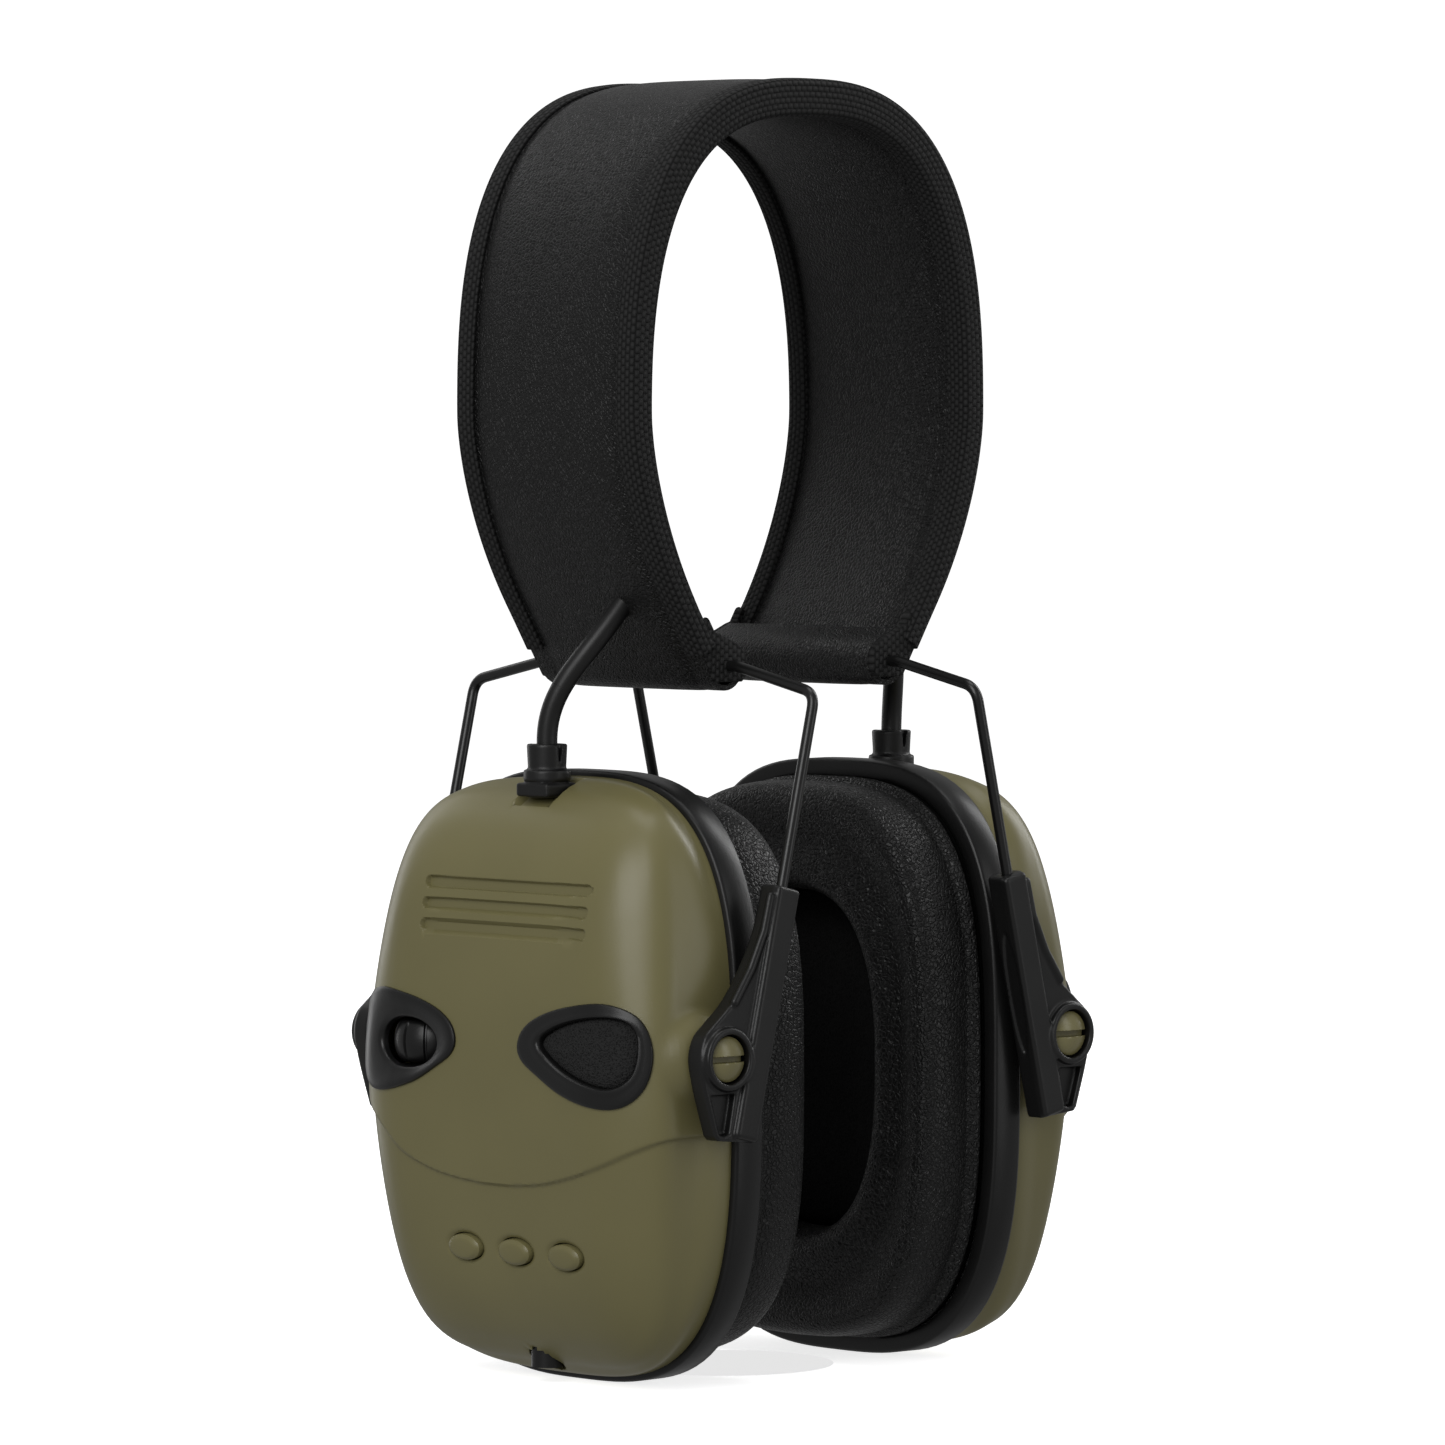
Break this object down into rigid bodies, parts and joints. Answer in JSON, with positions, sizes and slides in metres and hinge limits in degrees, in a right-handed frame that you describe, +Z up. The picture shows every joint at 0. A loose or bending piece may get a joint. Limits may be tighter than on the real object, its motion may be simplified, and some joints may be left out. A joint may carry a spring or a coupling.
{
  "type": "electronic earmuff hearing protector",
  "caption": "Folding electronic earmuff: moulded cups with sealing ear cushions on sliding wire frames under a padded leather headband.",
  "frame": {"origin": "middle of the headband pad's inner face, where it rests on the crown of the head", "axes": "+Z up, wearer facing -Y, wearer's right cup on the -X side"},
  "size_m": [0.115, 0.0944, 0.2305],
  "materials": {
    "cover_leather": "fine-grained synthetic leather",
    "pad_leather": "soft synthetic leather over foam",
    "binding_tape": "woven nylon binding tape",
    "spring_steel": "spring steel",
    "wire_black": "black coated spring wire",
    "yoke_black": "satin black moulded nylon",
    "screw_olive": "olive lacquered screw head",
    "shell_olive": "soft-touch olive moulding",
    "rim_black": "satin black moulding",
    "cushion_leather": "protein leather over foam",
    "liner_foam": "open-cell foam",
    "speaker_metal": "plated",
    "screw_zinc": "zinc plated",
    "pcb_green": "solder mask",
    "control_black": "satin black",
    "mic_foam": "coarse open-cell foam",
    "button_olive": "olive rubber",
    "cell_metal": "plain cell jacket",
    "cable_rubber": "black jacket"
  },
  "bodies": {
    "root": {"headband_cover": "cover_leather", "headband_pad": "pad_leather", "front_binding": "binding_tape", "rear_binding": "binding_tape", "spring_strip": "spring_steel", "band_cable": "cable_rubber", "right_lead": "cable_rubber", "left_lead": "cable_rubber"},
    "right_hanger": {"right_wire_frame": "wire_black"},
    "left_hanger": {"left_wire_frame": "wire_black"},
    "right_slider": {"right_front_yoke": "yoke_black", "right_rear_yoke": "yoke_black"},
    "left_slider": {"left_front_yoke": "yoke_black", "left_rear_yoke": "yoke_black"},
    "right_cup": {"right_pivot_screws": "screw_olive", "right_shell": "shell_olive", "right_rim": "rim_black", "right_cushion": "cushion_leather", "right_cushion_plate": "rim_black", "right_foam_liner": "liner_foam", "right_speaker": "speaker_metal", "right_shell_screws": "screw_zinc", "right_main_board": "pcb_green", "right_board_screws": "screw_zinc", "volume_pot": "control_black", "volume_bezel": "control_black", "right_mic_bezel": "control_black", "right_mic_foam": "mic_foam", "right_mic_capsule": "speaker_metal", "button_switches": "speaker_metal", "switch_board": "pcb_green", "audio_socket": "control_black", "right_cable_boot": "cable_rubber"},
    "left_cup": {"left_pivot_screws": "screw_olive", "left_shell": "shell_olive", "left_rim": "rim_black", "left_cushion": "cushion_leather", "left_cushion_plate": "rim_black", "left_foam_liner": "liner_foam", "left_speaker": "speaker_metal", "left_shell_screws": "screw_zinc", "left_amp_board": "pcb_green", "left_board_screws": "screw_zinc", "left_mic_bezel": "control_black", "left_mic_foam": "mic_foam", "left_mic_capsule": "speaker_metal", "battery_box": "control_black", "battery_cells": "cell_metal", "battery_contacts": "speaker_metal", "left_cable_boot": "cable_rubber"},
    "volume_wheel": {"volume_wheel": "control_black"},
    "rear_button": {"rear_button": "button_olive"},
    "middle_button": {"middle_button": "button_olive"},
    "front_button": {"front_button": "button_olive"},
    "battery_door": {"battery_door": "shell_olive"}
  },
  "joints": [
    {"name": "right_fold", "type": "hinge", "parent": "root", "child": "right_hanger", "pos_m": [-0.0198, 0, -0.09666], "axis": [0, -1, 0], "range_deg": [0, 5.5], "deforming": ["right_lead"]},
    {"name": "right_slide", "type": "slide", "parent": "right_hanger", "child": "right_slider", "axis": [-0.2316, 0, -0.9728], "range_m": [-0.012, 0.014]},
    {"name": "right_tilt", "type": "hinge", "parent": "right_slider", "child": "right_cup", "pos_m": [-0.0423, 0, -0.16346], "axis": [0, 1, 0], "range_deg": [-10, 10]},
    {"name": "left_fold", "type": "hinge", "parent": "root", "child": "left_hanger", "pos_m": [0.0198, 0, -0.09666], "axis": [0, 1, 0], "range_deg": [0, 5.5], "deforming": ["left_lead"]},
    {"name": "left_slide", "type": "slide", "parent": "left_hanger", "child": "left_slider", "axis": [0.2316, 0, -0.9728], "range_m": [-0.012, 0.014]},
    {"name": "left_tilt", "type": "hinge", "parent": "left_slider", "child": "left_cup", "pos_m": [0.0423, 0, -0.16346], "axis": [0, -1, 0], "range_deg": [-10, 10]},
    {"name": "volume_turn", "type": "hinge", "parent": "right_cup", "child": "volume_wheel", "pos_m": [-0.0494, 0.0226, -0.16346], "axis": [0, 0, 1], "range_deg": [0, 270]},
    {"name": "rear_button_press", "type": "slide", "parent": "right_cup", "child": "rear_button", "axis": [1, 0, 0], "range_m": [0, 0.0008], "stiffness_N_per_m": 600, "springref_m": -0.0006},
    {"name": "middle_button_press", "type": "slide", "parent": "right_cup", "child": "middle_button", "axis": [1, 0, 0], "range_m": [0, 0.0008], "stiffness_N_per_m": 600, "springref_m": -0.0006},
    {"name": "front_button_press", "type": "slide", "parent": "right_cup", "child": "front_button", "axis": [1, 0, 0], "range_m": [0, 0.0008], "stiffness_N_per_m": 600, "springref_m": -0.0006},
    {"name": "battery_door_swing", "type": "hinge", "parent": "left_cup", "child": "battery_door", "pos_m": [0.0531, 0, -0.20066], "axis": [0, 1, 0], "range_deg": [0, 100]}
  ]
}
